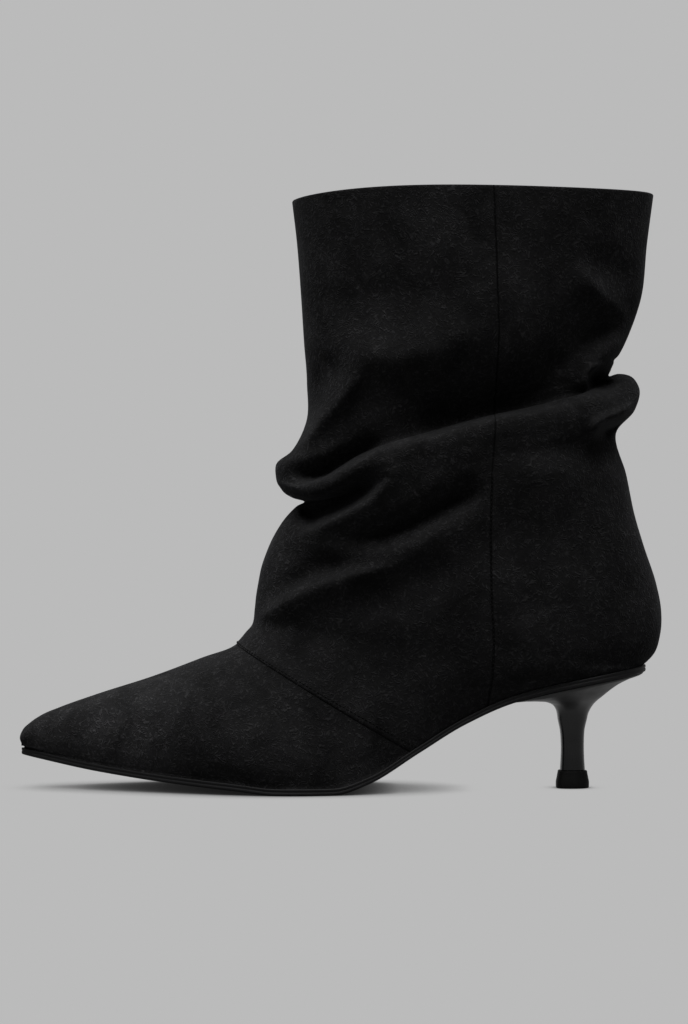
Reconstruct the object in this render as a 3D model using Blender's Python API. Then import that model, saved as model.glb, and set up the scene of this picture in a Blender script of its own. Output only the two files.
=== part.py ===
"""A left slouch boot: pointed toe, folded suede shaft, thin sole and a slim moulded heel.

Metres, +Z up. The toe points to -X, the outer side of the foot is -Y. The origin is on the floor, under
the middle of the boot's box.
"""

import math
from collections import namedtuple

import bpy
import numpy as np

# Driving dimensions
LENGTH = 0.268  # tip of the toe to the back of the counter
BALL_WIDTH = 0.079  # across the feather line at the ball
HEEL_HEIGHT = 0.0487  # floor to the underside of the sole at the back of the seat
TOE_SPRING = 0.0137  # floor to the underside of the sole at the toe
INSTEP_HEIGHT = 0.0571  # sole to the instep, just behind the vamp seam
SHAFT_HEIGHT = 0.196  # back of the heel seat to the collar
SHAFT_SETBACK = 0.0711  # back of the heel seat to the middle of the collar
COLLAR_DEPTH = 0.150  # front to back at the collar
COLLAR_WIDTH = 0.084  # side to side at the collar
WALL = 0.0022  # suede and lining together
SEAM_STEP = 0.0007  # the shaft's panels lap over the vamp
SEAM_RUN = 0.0012  # length over which that lap rises
OUTSOLE = 0.0026
SOLE_MARGIN = 0.0010  # the sole stands out past the feather line
SOLE_EDGE = 0.0006  # rounding of the sole's edge
INSOLE = 0.0024
INSOLE_EDGE = 0.0008  # height of the insole's upright edge
INSOLE_BEVEL = 0.0012  # its edge slopes inwards above that, clear of the tucked wall
GAP = 0.0003  # between pieces that meet
TIP_HEIGHT = 0.0073
TIP_LENGTH = 0.0138
TIP_WIDTH = 0.0128
TIP_TAPER = 0.0008  # the top piece narrows upwards by this much all round
HEEL_SETBACK = 0.0295  # back of the heel seat to the middle of the heel's stem
STEM_LENGTH = 0.0103
STEM_WIDTH = 0.0098
HEEL_MARGIN = 0.0008  # the heel's top stays inside the sole's edge

# Mesh steps
SIDE_STEPS = 14  # faces from a section's bottom end to its ridge
ROW_STEP = 0.0090  # spacing of the upper's rows
SOLE_STEPS = 52
HEEL_SIDES = 24
LIFT_SKEW = 1.6  # a fold's crest rises more towards the front

SolePoint = namedtuple("SolePoint", "station toe_share heel_share")
SOLE_LINE = [
    # station is a share of LENGTH from the middle, the height a share of TOE_SPRING plus one of HEEL_HEIGHT
    SolePoint(-0.496, 1.00, 0.0),
    SolePoint(-0.380, 0.59, 0.0),
    SolePoint(-0.270, 0.32, 0.0),
    SolePoint(-0.160, 0.12, 0.0),
    SolePoint(-0.095, 0.0, 0.0),
    SolePoint(-0.012, 0.0, 0.0),
    SolePoint(0.043, 0.0, 0.085),
    SolePoint(0.119, 0.0, 0.331),
    SolePoint(0.193, 0.0, 0.575),
    SolePoint(0.265, 0.0, 0.750),
    SolePoint(0.353, 0.0, 0.875),
    SolePoint(0.472, 0.0, 1.0),
]

PlanPoint = namedtuple("PlanPoint", "station half centre")
FEATHER_PLAN = [
    # half width and shift to the inner side as shares of BALL_WIDTH, before the two ends are rounded
    PlanPoint(-0.495, 0.030, 0.040),
    PlanPoint(-0.440, 0.115, 0.045),
    PlanPoint(-0.360, 0.235, 0.045),
    PlanPoint(-0.260, 0.370, 0.035),
    PlanPoint(-0.160, 0.470, 0.010),
    PlanPoint(-0.080, 0.500, -0.010),
    PlanPoint(0.000, 0.440, -0.030),
    PlanPoint(0.090, 0.315, -0.040),
    PlanPoint(0.180, 0.255, -0.030),
    PlanPoint(0.280, 0.270, -0.010),
    PlanPoint(0.380, 0.305, 0.0),
    PlanPoint(0.472, 0.305, 0.0),
]
TOE_ROUND = 0.022  # length of the toe's rounding, as a share of LENGTH
HEEL_ROUND = 0.105  # length of the heel's rounding, as a share of LENGTH

FootSection = namedtuple("FootSection", "name front ridge back outer inner front_round back_round")
FOOT_SECTIONS = [
    # front and back are shares of LENGTH, ridge is a share of INSTEP_HEIGHT above the sole, outer and
    # inner are the greatest half widths as shares of BALL_WIDTH. Each section stands on the feather line.
    FootSection("toe tip", -0.4980, 0.012, -0.4950, 0.004, 0.004, 2.0, 2.0),
    FootSection("toe nose", -0.5020, 0.070, -0.4920, 0.045, 0.045, 2.0, 2.0),
    FootSection("toe rise", -0.4975, 0.132, -0.4860, 0.072, 0.072, 2.0, 2.0),
    FootSection("toe top", -0.4850, 0.200, -0.4730, 0.100, 0.100, 2.0, 2.0),
    FootSection("toe box", -0.4670, 0.272, -0.4530, 0.130, 0.130, 2.0, 1.8),
    FootSection("toe back", -0.4390, 0.353, -0.4220, 0.175, 0.175, 2.0, 1.6),
    FootSection("vamp front", -0.3830, 0.492, -0.3560, 0.268, 0.268, 2.1, 1.5),
    FootSection("vamp", -0.2970, 0.674, -0.2470, 0.410, 0.408, 2.1, 1.5),
    FootSection("ball", -0.2190, 0.848, -0.1020, 0.522, 0.515, 2.0, 1.5),
    FootSection("vamp seam", -0.1630, 0.976, 0.1070, 0.420, 0.405, 2.2, 1.6),
    FootSection("waist", -0.1470, 1.067, 0.2020, 0.388, 0.372, 2.3, 1.9),
    FootSection("seat front", -0.1380, 1.123, 0.2960, 0.390, 0.376, 2.3, 2.5),
    FootSection("seat", -0.1350, 1.183, 0.3890, 0.404, 0.394, 2.3, 3.1),
    FootSection("seat back", -0.1340, 1.242, 0.4390, 0.414, 0.406, 2.3, 3.4),
    FootSection("seat round", -0.1330, 1.271, 0.4620, 0.418, 0.411, 2.3, 3.5),
    FootSection("seat end", -0.1330, 1.293, 0.4725, 0.422, 0.416, 2.3, 3.5),
]
SEAM_ROW = 9  # the section along which the vamp meets the shaft

ShaftSection = namedtuple(
    "ShaftSection",
    "name front front_rise back back_rise outer inner outer_lift inner_lift front_round back_round",
)
SHAFT_SECTIONS = [
    # front and back are shares of COLLAR_DEPTH from the shaft's axis, rises and lifts are shares of
    # SHAFT_HEIGHT from the heel seat, outer and inner are half widths as shares of COLLAR_WIDTH
    ShaftSection("counter low", -0.605, 0.148, 0.504, 0.023, 0.402, 0.397, 0.0, 0.0, 2.3, 3.5),
    ShaftSection("counter", -0.599, 0.172, 0.521, 0.063, 0.412, 0.408, 0.0, 0.0, 2.3, 3.3),
    ShaftSection("counter high", -0.591, 0.204, 0.524, 0.114, 0.422, 0.418, 0.0, 0.0, 2.3, 3.1),
    ShaftSection("ankle low", -0.577, 0.236, 0.510, 0.172, 0.434, 0.430, 0.0, 0.0, 2.3, 2.9),
    ShaftSection("ankle", -0.555, 0.274, 0.476, 0.251, 0.450, 0.448, 0.003, 0.010, 2.3, 2.7),
    ShaftSection("ankle high", -0.527, 0.308, 0.449, 0.321, 0.464, 0.466, 0.005, 0.016, 2.4, 2.6),
    ShaftSection("under the fold", -0.493, 0.336, 0.426, 0.406, 0.478, 0.482, 0.008, 0.018, 2.4, 2.5),
    ShaftSection("lower crease", -0.471, 0.347, 0.398, 0.492, 0.486, 0.490, 0.009, 0.018, 2.4, 2.4),
    ShaftSection("roll under", -0.504, 0.355, 0.451, 0.543, 0.497, 0.500, 0.011, 0.020, 2.4, 2.4),
    ShaftSection("roll crest", -0.527, 0.366, 0.463, 0.588, 0.506, 0.506, 0.012, 0.022, 2.4, 2.4),
    ShaftSection("roll lip", -0.538, 0.377, 0.441, 0.613, 0.492, 0.492, 0.012, 0.021, 2.4, 2.4),
    ShaftSection("roll shelf", -0.546, 0.387, 0.387, 0.609, 0.452, 0.452, 0.009, 0.014, 2.4, 2.4),
    ShaftSection("upper crease", -0.549, 0.400, 0.345, 0.592, 0.408, 0.408, 0.004, 0.006, 2.4, 2.4),
    ShaftSection("nose", -0.549, 0.426, 0.362, 0.609, 0.400, 0.402, 0.0, 0.0, 2.4, 2.4),
    ShaftSection("nose top", -0.504, 0.456, 0.379, 0.626, 0.408, 0.412, 0.0, 0.0, 2.4, 2.4),
    ShaftSection("trough", -0.465, 0.517, 0.390, 0.639, 0.424, 0.430, 0.0, 0.0, 2.4, 2.4),
    ShaftSection("shaft low", -0.463, 0.598, 0.407, 0.660, 0.442, 0.450, 0.0, 0.0, 2.4, 2.3),
    ShaftSection("shaft", -0.471, 0.684, 0.432, 0.699, 0.462, 0.466, 0.0, 0.0, 2.3, 2.3),
    ShaftSection("shaft high", -0.479, 0.780, 0.468, 0.780, 0.480, 0.482, 0.0, 0.0, 2.2, 2.2),
    ShaftSection("below the collar", -0.491, 0.899, 0.485, 0.899, 0.494, 0.494, 0.0, 0.0, 2.2, 2.2),
    ShaftSection("collar", -0.504, 0.984, 0.502, 0.997, 0.500, 0.500, 0.007, 0.007, 2.2, 2.2),
]

Fold = namedtuple("Fold", "name side start bend end width height fade_in fade_out")
OUTER = -1
INNER = 1
FOLDS = [
    # Each fold runs on one side of the shaft from start past bend to end. Those are (share of
    # COLLAR_DEPTH from the shaft's axis, share of SHAFT_HEIGHT from the heel seat), width and height
    # are shares of COLLAR_WIDTH, and a height below zero is a trough.
    Fold("pocket", OUTER, (-0.49, 0.345), (-0.31, 0.345), (-0.24, 0.432), 0.075, -0.060, 0.05, 0.30),
    Fold("pocket lip", OUTER, (-0.49, 0.288), (-0.26, 0.345), (-0.22, 0.430), 0.070, 0.026, 0.30, 0.20),
    Fold("slant trough", OUTER, (-0.39, 0.275), (-0.17, 0.306), (0.05, 0.404), 0.062, -0.044, 0.35, 0.25),
    Fold("instep ridge", OUTER, (-0.60, 0.085), (-0.44, 0.180), (-0.10, 0.262), 0.070, 0.026, 0.15, 0.50),
    Fold("instep trough", OUTER, (-0.42, 0.150), (-0.20, 0.195), (0.02, 0.262), 0.090, -0.022, 0.35, 0.45),
    Fold("nose ridge", OUTER, (-0.50, 0.465), (-0.37, 0.560), (-0.29, 0.655), 0.060, 0.040, 0.20, 0.45),
    Fold("wide trough", OUTER, (-0.22, 0.565), (0.10, 0.650), (0.42, 0.745), 0.110, -0.050, 0.40, 0.25),
    Fold("back ridge", OUTER, (0.43, 0.715), (0.35, 0.640), (0.20, 0.580), 0.085, 0.038, 0.25, 0.40),
    Fold("roll end", OUTER, (0.41, 0.492), (0.35, 0.490), (0.33, 0.520), 0.055, -0.032, 0.15, 0.40),
    Fold("pocket", INNER, (-0.49, 0.345), (-0.33, 0.362), (-0.16, 0.445), 0.080, -0.055, 0.05, 0.35),
    Fold("slant trough", INNER, (-0.33, 0.270), (-0.12, 0.325), (0.16, 0.420), 0.070, -0.045, 0.35, 0.35),
    Fold("instep ridge", INNER, (-0.60, 0.085), (-0.46, 0.170), (-0.16, 0.225), 0.075, 0.026, 0.15, 0.50),
    Fold("instep trough", INNER, (-0.45, 0.130), (-0.22, 0.160), (0.05, 0.235), 0.090, -0.022, 0.35, 0.45),
    Fold("nose ridge", INNER, (-0.49, 0.475), (-0.34, 0.590), (-0.20, 0.660), 0.070, 0.038, 0.20, 0.50),
    Fold("wide trough", INNER, (-0.18, 0.560), (0.12, 0.625), (0.40, 0.760), 0.110, -0.050, 0.40, 0.25),
    Fold("roll end", INNER, (0.40, 0.496), (0.32, 0.500), (0.27, 0.535), 0.055, -0.032, 0.15, 0.40),
]

HeelSection = namedtuple("HeelSection", "front front_rise back back_rise half flatness")
HEEL_SECTIONS = [
    # front and back are shares of STEM_LENGTH from the stem's axis, the rises are shares of HEEL_HEIGHT
    # from the floor, half is the half width as a share of STEM_WIDTH. flatness squares the front.
    HeelSection(-0.505, 0.156, 0.505, 0.156, 0.510, 3.5),
    HeelSection(-0.480, 0.250, 0.475, 0.250, 0.490, 3.5),
    HeelSection(-0.470, 0.373, 0.465, 0.410, 0.485, 3.5),
    HeelSection(-0.510, 0.495, 0.500, 0.512, 0.500, 3.5),
    HeelSection(-0.595, 0.582, 0.580, 0.582, 0.560, 3.5),
    HeelSection(-0.645, 0.655, 0.660, 0.650, 0.700, 3.5),
    HeelSection(-0.760, 0.702, 0.840, 0.715, 0.950, 3.5),
    HeelSection(-1.050, 0.737, 1.240, 0.792, 1.400, 4.0),
    HeelSection(-1.560, 0.751, 1.880, 0.894, 1.900, 5.0),
    HeelSection(-2.050, 0.754, 2.500, 0.960, 2.240, 6.0),
]
HeelTop = namedtuple("HeelTop", "front half flatness")
HEEL_TOP = HeelTop(-2.420, 2.550, 7.0)


# Curves through the tables
def hermite(knots, values, at, level=False):
    """The smooth curve through the knots. With level set it never overshoots them."""
    knots = np.asarray(knots, float)
    values = np.asarray(values, float)
    spans = np.diff(knots)
    slopes = (np.diff(values, axis=0).T / spans).T
    tangents = np.empty_like(values)
    tangents[0] = slopes[0]
    tangents[-1] = slopes[-1]
    for i in range(1, len(knots) - 1):
        before, after = slopes[i - 1], slopes[i]
        mean = (before * spans[i] + after * spans[i - 1]) / (spans[i] + spans[i - 1])
        if level:
            same = before * after > 0
            total = np.where(same, before + after, 1.0)
            mean = np.where(same, 2 * before * after / total, 0.0)
        tangents[i] = mean
    at = min(max(at, knots[0]), knots[-1])
    i = min(int(np.searchsorted(knots, at, side="right")) - 1, len(spans) - 1)
    h = spans[i]
    t = (at - knots[i]) / h
    a = 2 * t**3 - 3 * t**2 + 1
    b = t**3 - 2 * t**2 + t
    c = -2 * t**3 + 3 * t**2
    d = t**3 - t**2
    return a * values[i] + b * h * tangents[i] + c * values[i + 1] + d * h * tangents[i + 1]


def smooth(low, high, value):
    t = min(max((value - low) / (high - low), 0.0), 1.0)
    return t * t * (3 - 2 * t)


# The sole's line and outline
def sole_bottom(x):
    stations = [p.station * LENGTH for p in SOLE_LINE]
    heights = [p.toe_share * TOE_SPRING + p.heel_share * HEEL_HEIGHT for p in SOLE_LINE]
    return float(hermite(stations, heights, x, level=True))


def sole_top(x):
    return sole_bottom(x) + OUTSOLE


TOE_END = FEATHER_PLAN[0].station * LENGTH
HEEL_END = FEATHER_PLAN[-1].station * LENGTH
SHAFT_AXIS = HEEL_END - SHAFT_SETBACK
HEEL_AXIS = HEEL_END - HEEL_SETBACK


def feather_half(x):
    """Half width of the feather line at x, which falls to zero in a round at both ends."""
    stations = [p.station * LENGTH for p in FEATHER_PLAN]
    half = float(hermite(stations, [p.half * BALL_WIDTH for p in FEATHER_PLAN], x, level=True))
    for end, reach in ((TOE_END, TOE_ROUND * LENGTH), (HEEL_END, HEEL_ROUND * LENGTH)):
        inside = min(abs(x - end), reach) / reach
        if not TOE_END < x < HEEL_END:
            inside = 0.0
        half *= math.sqrt(max(1 - (1 - inside) ** 2, 0.0))
    return half


def feather_centre(x):
    stations = [p.station * LENGTH for p in FEATHER_PLAN]
    return float(hermite(stations, [p.centre * BALL_WIDTH for p in FEATHER_PLAN], x, level=True))


def feather_point(turn, side, inset=0.0):
    """Point (x, y) of the feather line moved inwards by inset. turn runs 0 to 1, heel to toe."""

    def on_line(t):
        x = HEEL_END + (TOE_END - HEEL_END) * (1 - math.cos(math.pi * t)) / 2
        return np.array([x, feather_centre(x) + side * feather_half(x)])

    here = on_line(turn)
    step = 1e-3
    if turn < step:
        inward = np.array([-1.0, 0.0])
    elif turn > 1 - step:
        inward = np.array([1.0, 0.0])
    else:
        along = on_line(turn + step) - on_line(turn - step)
        inward = np.array([-along[1], along[0]]) * side / np.linalg.norm(along)
    return here + inward * inset


# The upper's surface
def foot_columns(s):
    front_x = s.front * LENGTH
    back_x = s.back * LENGTH
    return [
        front_x,
        sole_top(front_x) + s.ridge * INSTEP_HEIGHT + SEAM_STEP,
        back_x,
        sole_top(back_x) + GAP,
        s.outer * BALL_WIDTH,
        s.inner * BALL_WIDTH,
        0.0,
        0.0,
        s.front_round,
        s.back_round,
    ]


def shaft_columns(s):
    seat = sole_top(HEEL_END) + GAP
    return [
        SHAFT_AXIS + s.front * COLLAR_DEPTH,
        seat + s.front_rise * SHAFT_HEIGHT,
        SHAFT_AXIS + s.back * COLLAR_DEPTH,
        seat + s.back_rise * SHAFT_HEIGHT,
        s.outer * COLLAR_WIDTH,
        s.inner * COLLAR_WIDTH,
        s.outer_lift * SHAFT_HEIGHT,
        s.inner_lift * SHAFT_HEIGHT,
        s.front_round,
        s.back_round,
    ]


def upper_rows():
    """Rows from toe to collar: their columns, their distance past the vamp seam, and whether they close."""
    columns = np.array([foot_columns(s) for s in FOOT_SECTIONS] + [shaft_columns(s) for s in SHAFT_SECTIONS])
    fronts = np.linalg.norm(np.diff(columns[:, 0:2], axis=0), axis=1)
    backs = np.linalg.norm(np.diff(columns[:, 2:4], axis=0), axis=1)
    bottoms = np.abs(np.diff([feather_half(s.back * LENGTH) for s in FOOT_SECTIONS]))
    backs[: len(bottoms)] = np.hypot(backs[: len(bottoms)], bottoms)
    spans = (fronts + backs) / 2
    knots = np.concatenate([[0.0], np.cumsum(spans)])
    places = []
    for i, span in enumerate(spans):
        parts = math.ceil(max(fronts[i], backs[i]) / ROW_STEP)
        places += [knots[i] + span * k / parts for k in range(parts)]
    places.append(knots[-1])
    seam = knots[SEAM_ROW]
    places = sorted(set(places) | {seam + SEAM_RUN})
    close = knots[len(FOOT_SECTIONS) - 1]
    return [(hermite(knots, columns, place), place - seam, place >= close) for place in places]


def section_points(columns, closed):
    """The row's points from its outer bottom end over the ridge to its inner bottom end."""
    front_x, front_z, back_x, back_z, outer, inner, outer_lift, inner_lift, front_round, back_round = columns
    opening = 0.0 if closed else feather_half(back_x)
    if not closed:
        back_z = sole_top(back_x) + GAP
    centre = feather_centre(min(back_x, HEEL_END))
    points = []
    for side, half, lift in ((OUTER, outer, outer_lift), (INNER, inner, inner_lift)):
        half = max(half, opening * 1.002)
        tuck = (1 - (opening / half) ** 2) ** (1 / back_round)
        start = -math.asin(tuck)
        arc = []
        for k in range(SIDE_STEPS + 1):
            turn = math.sin(start + (math.pi / 2 - start) * k / SIDE_STEPS)
            power = front_round if turn > 0 else back_round
            share = (turn + tuck) / (1 + tuck)
            rise = lift * 4 * share * (1 - share) * (1 + LIFT_SKEW * (2 * share - 1))
            arc.append(
                (
                    back_x + (front_x - back_x) * share,
                    centre * (1 - share) + side * half * math.sqrt(max(1 - abs(turn) ** power, 0.0)),
                    back_z + (front_z - back_z) * share + rise,
                )
            )
        points += arc if side == OUTER else arc[-2::-1]
    return points


def fold_path(fold):
    """Points of the fold's line in the side view, from its start past its bend to its end."""
    seat = sole_top(HEEL_END)
    corners = np.array([fold.start, fold.bend, fold.end])
    corners = corners * [COLLAR_DEPTH, SHAFT_HEIGHT] + [SHAFT_AXIS, seat]
    shares = np.linspace(0, 1, 25)[:, None]
    return corners[0] * (1 - shares) ** 2 + corners[1] * 2 * shares * (1 - shares) + corners[2] * shares**2


def fold_height(fold, path, x, z):
    """How far the fold moves the wall outwards at (x, z)."""
    distances = np.hypot(path[:, 0] - x, path[:, 1] - z)
    nearest = int(np.argmin(distances))
    along = nearest / (len(path) - 1)
    taper = smooth(0, fold.fade_in, along) * smooth(0, fold.fade_out, 1 - along)
    near = distances[nearest] / (fold.width * COLLAR_WIDTH)
    return fold.height * COLLAR_WIDTH * taper * math.exp(-near * near)


def row_faces(rows, columns, wrap_after):
    """Quads between rows of points. Rows after wrap_after share their first and last point."""
    faces = []
    for i in range(rows - 1):
        for j in range(columns - 1):
            a, b = i * columns + j, i * columns + j + 1
            c, d = (i + 1) * columns + j + 1, (i + 1) * columns + j
            if i >= wrap_after and j == columns - 2:
                b = i * columns
            if i + 1 >= wrap_after and j == columns - 2:
                c = (i + 1) * columns
            faces.append((a, d, c, b))
    return faces


def point_normals(points, faces):
    """Outward normals of the points, from the faces around them."""
    corners = points[np.array(faces)]
    across = np.cross(corners[:, 2] - corners[:, 0], corners[:, 3] - corners[:, 1])
    normals = np.zeros_like(points)
    for k in range(4):
        np.add.at(normals, np.array(faces)[:, k], across)
    lengths = np.linalg.norm(normals, axis=1, keepdims=True)
    return normals / np.maximum(lengths, 1e-12)


def folded(points, normals):
    """The points moved by every fold of their own side."""
    moves = np.zeros(len(points))
    for fold in FOLDS:
        path = fold_path(fold)
        for i, (x, y, z) in enumerate(points):
            facing = smooth(0.10, 0.55, normals[i, 1] * fold.side)
            if facing > 0:
                moves[i] += facing * fold_height(fold, path, x, z)
    return points + normals * moves[:, None]


def make_object(name, points, faces, material):
    mesh = bpy.data.meshes.new(name)
    mesh.from_pydata([tuple(p) for p in points], [], faces)
    mesh.validate()
    mesh.shade_smooth()
    mesh.set_sharp_from_angle(angle=math.radians(45))
    mesh.materials.append(material)
    made = bpy.data.objects.new(name, mesh)
    bpy.context.scene.collection.objects.link(made)
    return made


def make_upper(material):
    """One wall from toe to collar, open underneath and at the collar."""
    rows = upper_rows()
    columns = 2 * SIDE_STEPS + 1
    closed_from = [closed for _, _, closed in rows].index(True)
    base = np.array([point for row, _, closed in rows for point in section_points(row, closed)])
    count = len(rows)
    faces = row_faces(count, columns, closed_from)
    base = folded(base, point_normals(base, faces))
    normals = point_normals(base, faces)
    steps = [SEAM_STEP * (1 - smooth(0, SEAM_RUN, past)) for _, past, _ in rows]
    outer = base - normals * np.repeat(steps, columns)[:, None]
    inner = base - normals * WALL
    for i in range(closed_from):
        for j, side in ((0, OUTER), (columns - 1, INNER)):
            k = i * columns + j
            turn = math.acos(1 - 2 * (HEEL_END - base[k, 0]) / (HEEL_END - TOE_END)) / math.pi
            outer[k] = base[k]
            inner[k, :2] = feather_point(turn, side, WALL)
            inner[k, 2] = sole_top(inner[k, 0]) + GAP
    rim = (outer[-columns:] + inner[-columns:]) / 2
    rim[:, 2] += WALL / 2
    points = np.concatenate([outer, inner, rim])
    shift = count * columns
    solid = list(faces)
    solid += [tuple(k + shift for k in reversed(face)) for face in faces]
    last = (count - 1) * columns
    for j in range(columns - 1):
        k = (j + 1) % (columns - 1)
        solid.append((last + k, last + j, 2 * shift + j, 2 * shift + k))
        solid.append((last + shift + j, last + shift + k, 2 * shift + k, 2 * shift + j))
    end = columns - 1
    for i in range(closed_from):
        a, b = i * columns, (i + 1) * columns
        c = b if i + 1 == closed_from else b + end
        solid.append((b, a, a + shift, b + shift))
        solid.append((a + end, c, c + shift, a + end + shift))
    solid.append(tuple(range(columns)))
    solid.append(tuple(k + shift for k in reversed(range(columns))))
    solid.append((0, end, end + shift, shift))
    return make_object("upper", points, solid, material)


# Flat pieces that follow the sole's line
def plate(name, rings, material):
    """A closed plate. Each ring is (inset from the feather line, height as a function of x), top first."""
    turns = [k / SOLE_STEPS for k in range(SOLE_STEPS + 1)]
    loop = 2 * SOLE_STEPS
    points = []
    for inset, height in rings:
        outline = [feather_point(t, OUTER, inset) for t in turns]
        outline += [feather_point(t, INNER, inset) for t in turns[-2:0:-1]]
        points += [(x, y, height(x)) for x, y in outline]
    faces = []
    for r in range(len(rings) - 1):
        for j in range(loop):
            k = (j + 1) % loop
            faces.append((r * loop + j, r * loop + k, (r + 1) * loop + k, (r + 1) * loop + j))
    for first, flip in ((0, False), ((len(rings) - 1) * loop, True)):
        for j in range(SOLE_STEPS):
            a, b = first + j, first + j + 1
            c, d = first + (loop - j - 1) % loop, first + (loop - j) % loop
            face = [a, d, c, b]
            face = [v for n, v in enumerate(face) if v not in face[:n]]
            faces.append(tuple(reversed(face)) if flip else tuple(face))
    return make_object(name, points, faces, material)


def make_outsole(material):
    rings = [
        (-SOLE_MARGIN + SOLE_EDGE, sole_top),
        (-SOLE_MARGIN, lambda x: sole_top(x) - SOLE_EDGE),
        (-SOLE_MARGIN, lambda x: sole_bottom(x) + SOLE_EDGE),
        (-SOLE_MARGIN + 2 * SOLE_EDGE, sole_bottom),
    ]
    return plate("outsole", rings, material)


def make_insole(material):
    inset = WALL + 2 * GAP
    rings = [
        (inset + INSOLE_BEVEL, lambda x: sole_top(x) + GAP + INSOLE),
        (inset, lambda x: sole_top(x) + GAP + INSOLE_EDGE),
        (inset, lambda x: sole_top(x) + GAP),
    ]
    return plate("insole", rings, material)


# Heel and top piece
def oval(front, back, half, flatness):
    """Shares along and points (x, y) of a heel section: a flattened breast in front and a round back."""
    points = []
    for k in range(HEEL_SIDES):
        angle = 2 * math.pi * k / HEEL_SIDES
        power = 2 / flatness if math.cos(angle) < 0 else 1.0
        along = math.copysign(abs(math.cos(angle)) ** power, math.cos(angle))
        across = math.copysign(abs(math.sin(angle)) ** power, math.sin(angle))
        share = (1 + along) / 2
        points.append((share, front + (back - front) * share, across * half))
    return points


def loft(name, loops, material):
    count = len(loops[0])
    points = [p for loop in loops for p in loop]
    faces = [tuple(reversed(range(count)))]
    for r in range(len(loops) - 1):
        for j in range(count):
            k = (j + 1) % count
            faces.append((r * count + j, r * count + k, (r + 1) * count + k, (r + 1) * count + j))
    last = (len(loops) - 1) * count
    faces.append(tuple(range(last, last + count)))
    return make_object(name, points, faces, material)


def make_top_piece(material):
    loops = []
    for shrink, z in ((0.4, 0.0), (0.0, 0.12), (0.0, 0.35), (1.0, 0.94), (1.5, 1.0)):
        inset = TIP_TAPER * shrink
        front = HEEL_AXIS - TIP_LENGTH / 2 + inset
        back = HEEL_AXIS + TIP_LENGTH / 2 - inset
        outline = oval(front, back, TIP_WIDTH / 2 - inset, 3.5)
        loops.append([(x, y, z * TIP_HEIGHT) for _, x, y in outline])
    return loft("top_piece", loops, material)


def make_heel(material):
    """The stem flares to a cup whose top follows the underside and the edge of the sole."""
    loops = []
    for s in HEEL_SECTIONS:
        outline = oval(s.front * STEM_LENGTH, s.back * STEM_LENGTH, s.half * STEM_WIDTH, s.flatness)
        rises = [s.front_rise + (s.back_rise - s.front_rise) * share for share, _, _ in outline]
        loops.append([(HEEL_AXIS + x, y, r * HEEL_HEIGHT) for (_, x, y), r in zip(outline, rises)])
    margin = SOLE_MARGIN - HEEL_MARGIN
    back = HEEL_END + margin - HEEL_AXIS
    outline = oval(HEEL_TOP.front * STEM_LENGTH, back, HEEL_TOP.half * STEM_WIDTH, HEEL_TOP.flatness)
    top = []
    for _, x, y in outline:
        x += HEEL_AXIS
        centre = feather_centre(x)
        reach = feather_half(x) + margin
        top.append((x, centre + min(max(y, -reach), reach), sole_bottom(x) - GAP))
    loops.append(top)
    return loft("heel", loops, material)


def plastic(name, colour, roughness):
    material = bpy.data.materials.new(name)
    material.use_nodes = True
    shader = material.node_tree.nodes["Principled BSDF"]
    shader.inputs["Base Color"].default_value = (*colour, 1.0)
    shader.inputs["Roughness"].default_value = roughness
    shader.inputs["Metallic"].default_value = 0.0
    return material


def main():
    for old in list(bpy.data.objects):
        bpy.data.objects.remove(old)
    make_outsole(plastic("sole_black", (0.012, 0.012, 0.013), 0.45))
    make_insole(plastic("sock_black", (0.020, 0.020, 0.021), 0.70))
    make_upper(plastic("suede_black", (0.010, 0.010, 0.011), 0.95))
    make_heel(plastic("heel_black", (0.012, 0.012, 0.013), 0.20))
    make_top_piece(plastic("rubber_black", (0.014, 0.014, 0.015), 0.60))


main()
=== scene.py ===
"""Looks of the slouch boot: folded suede, its seams and stitches, a polished heel and soft studio light.

Metres, +Z up. The toe points to -X and the outer side of the left foot is -Y, as in the frame.
"""

import math
from collections import namedtuple

import bpy
import numpy as np
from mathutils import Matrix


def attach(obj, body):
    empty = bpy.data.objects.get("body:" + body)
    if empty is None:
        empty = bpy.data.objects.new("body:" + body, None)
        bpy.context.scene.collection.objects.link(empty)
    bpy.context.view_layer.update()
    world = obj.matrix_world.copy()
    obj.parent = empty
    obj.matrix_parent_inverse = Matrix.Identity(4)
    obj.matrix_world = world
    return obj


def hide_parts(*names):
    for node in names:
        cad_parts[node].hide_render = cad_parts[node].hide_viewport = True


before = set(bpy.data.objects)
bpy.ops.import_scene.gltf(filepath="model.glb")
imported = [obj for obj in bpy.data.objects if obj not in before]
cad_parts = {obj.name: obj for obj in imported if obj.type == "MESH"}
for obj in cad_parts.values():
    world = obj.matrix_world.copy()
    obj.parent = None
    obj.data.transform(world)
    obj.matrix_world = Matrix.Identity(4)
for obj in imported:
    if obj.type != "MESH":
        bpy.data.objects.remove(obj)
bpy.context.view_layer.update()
MM = 0.001

# Sizes shared with the frame's solids
LENGTH = 0.268
BALL_WIDTH = 0.079
HEEL_HEIGHT = 0.0487
TOE_SPRING = 0.0137
INSTEP_HEIGHT = 0.0571
SHAFT_HEIGHT = 0.196
SHAFT_SETBACK = 0.0711
COLLAR_DEPTH = 0.150
COLLAR_WIDTH = 0.084
WALL = 0.0022
OUTSOLE = 0.0026
SOLE_MARGIN = 0.0010
INSOLE = 0.0024
GAP = 0.0003
TIP_HEIGHT = 0.0073
TIP_LENGTH = 0.0138
TIP_WIDTH = 0.0128
TIP_TAPER = 0.0008
HEEL_SETBACK = 0.0295
STEM_LENGTH = 0.0103
STEM_WIDTH = 0.0098
LIFT_SKEW = 1.6

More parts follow.
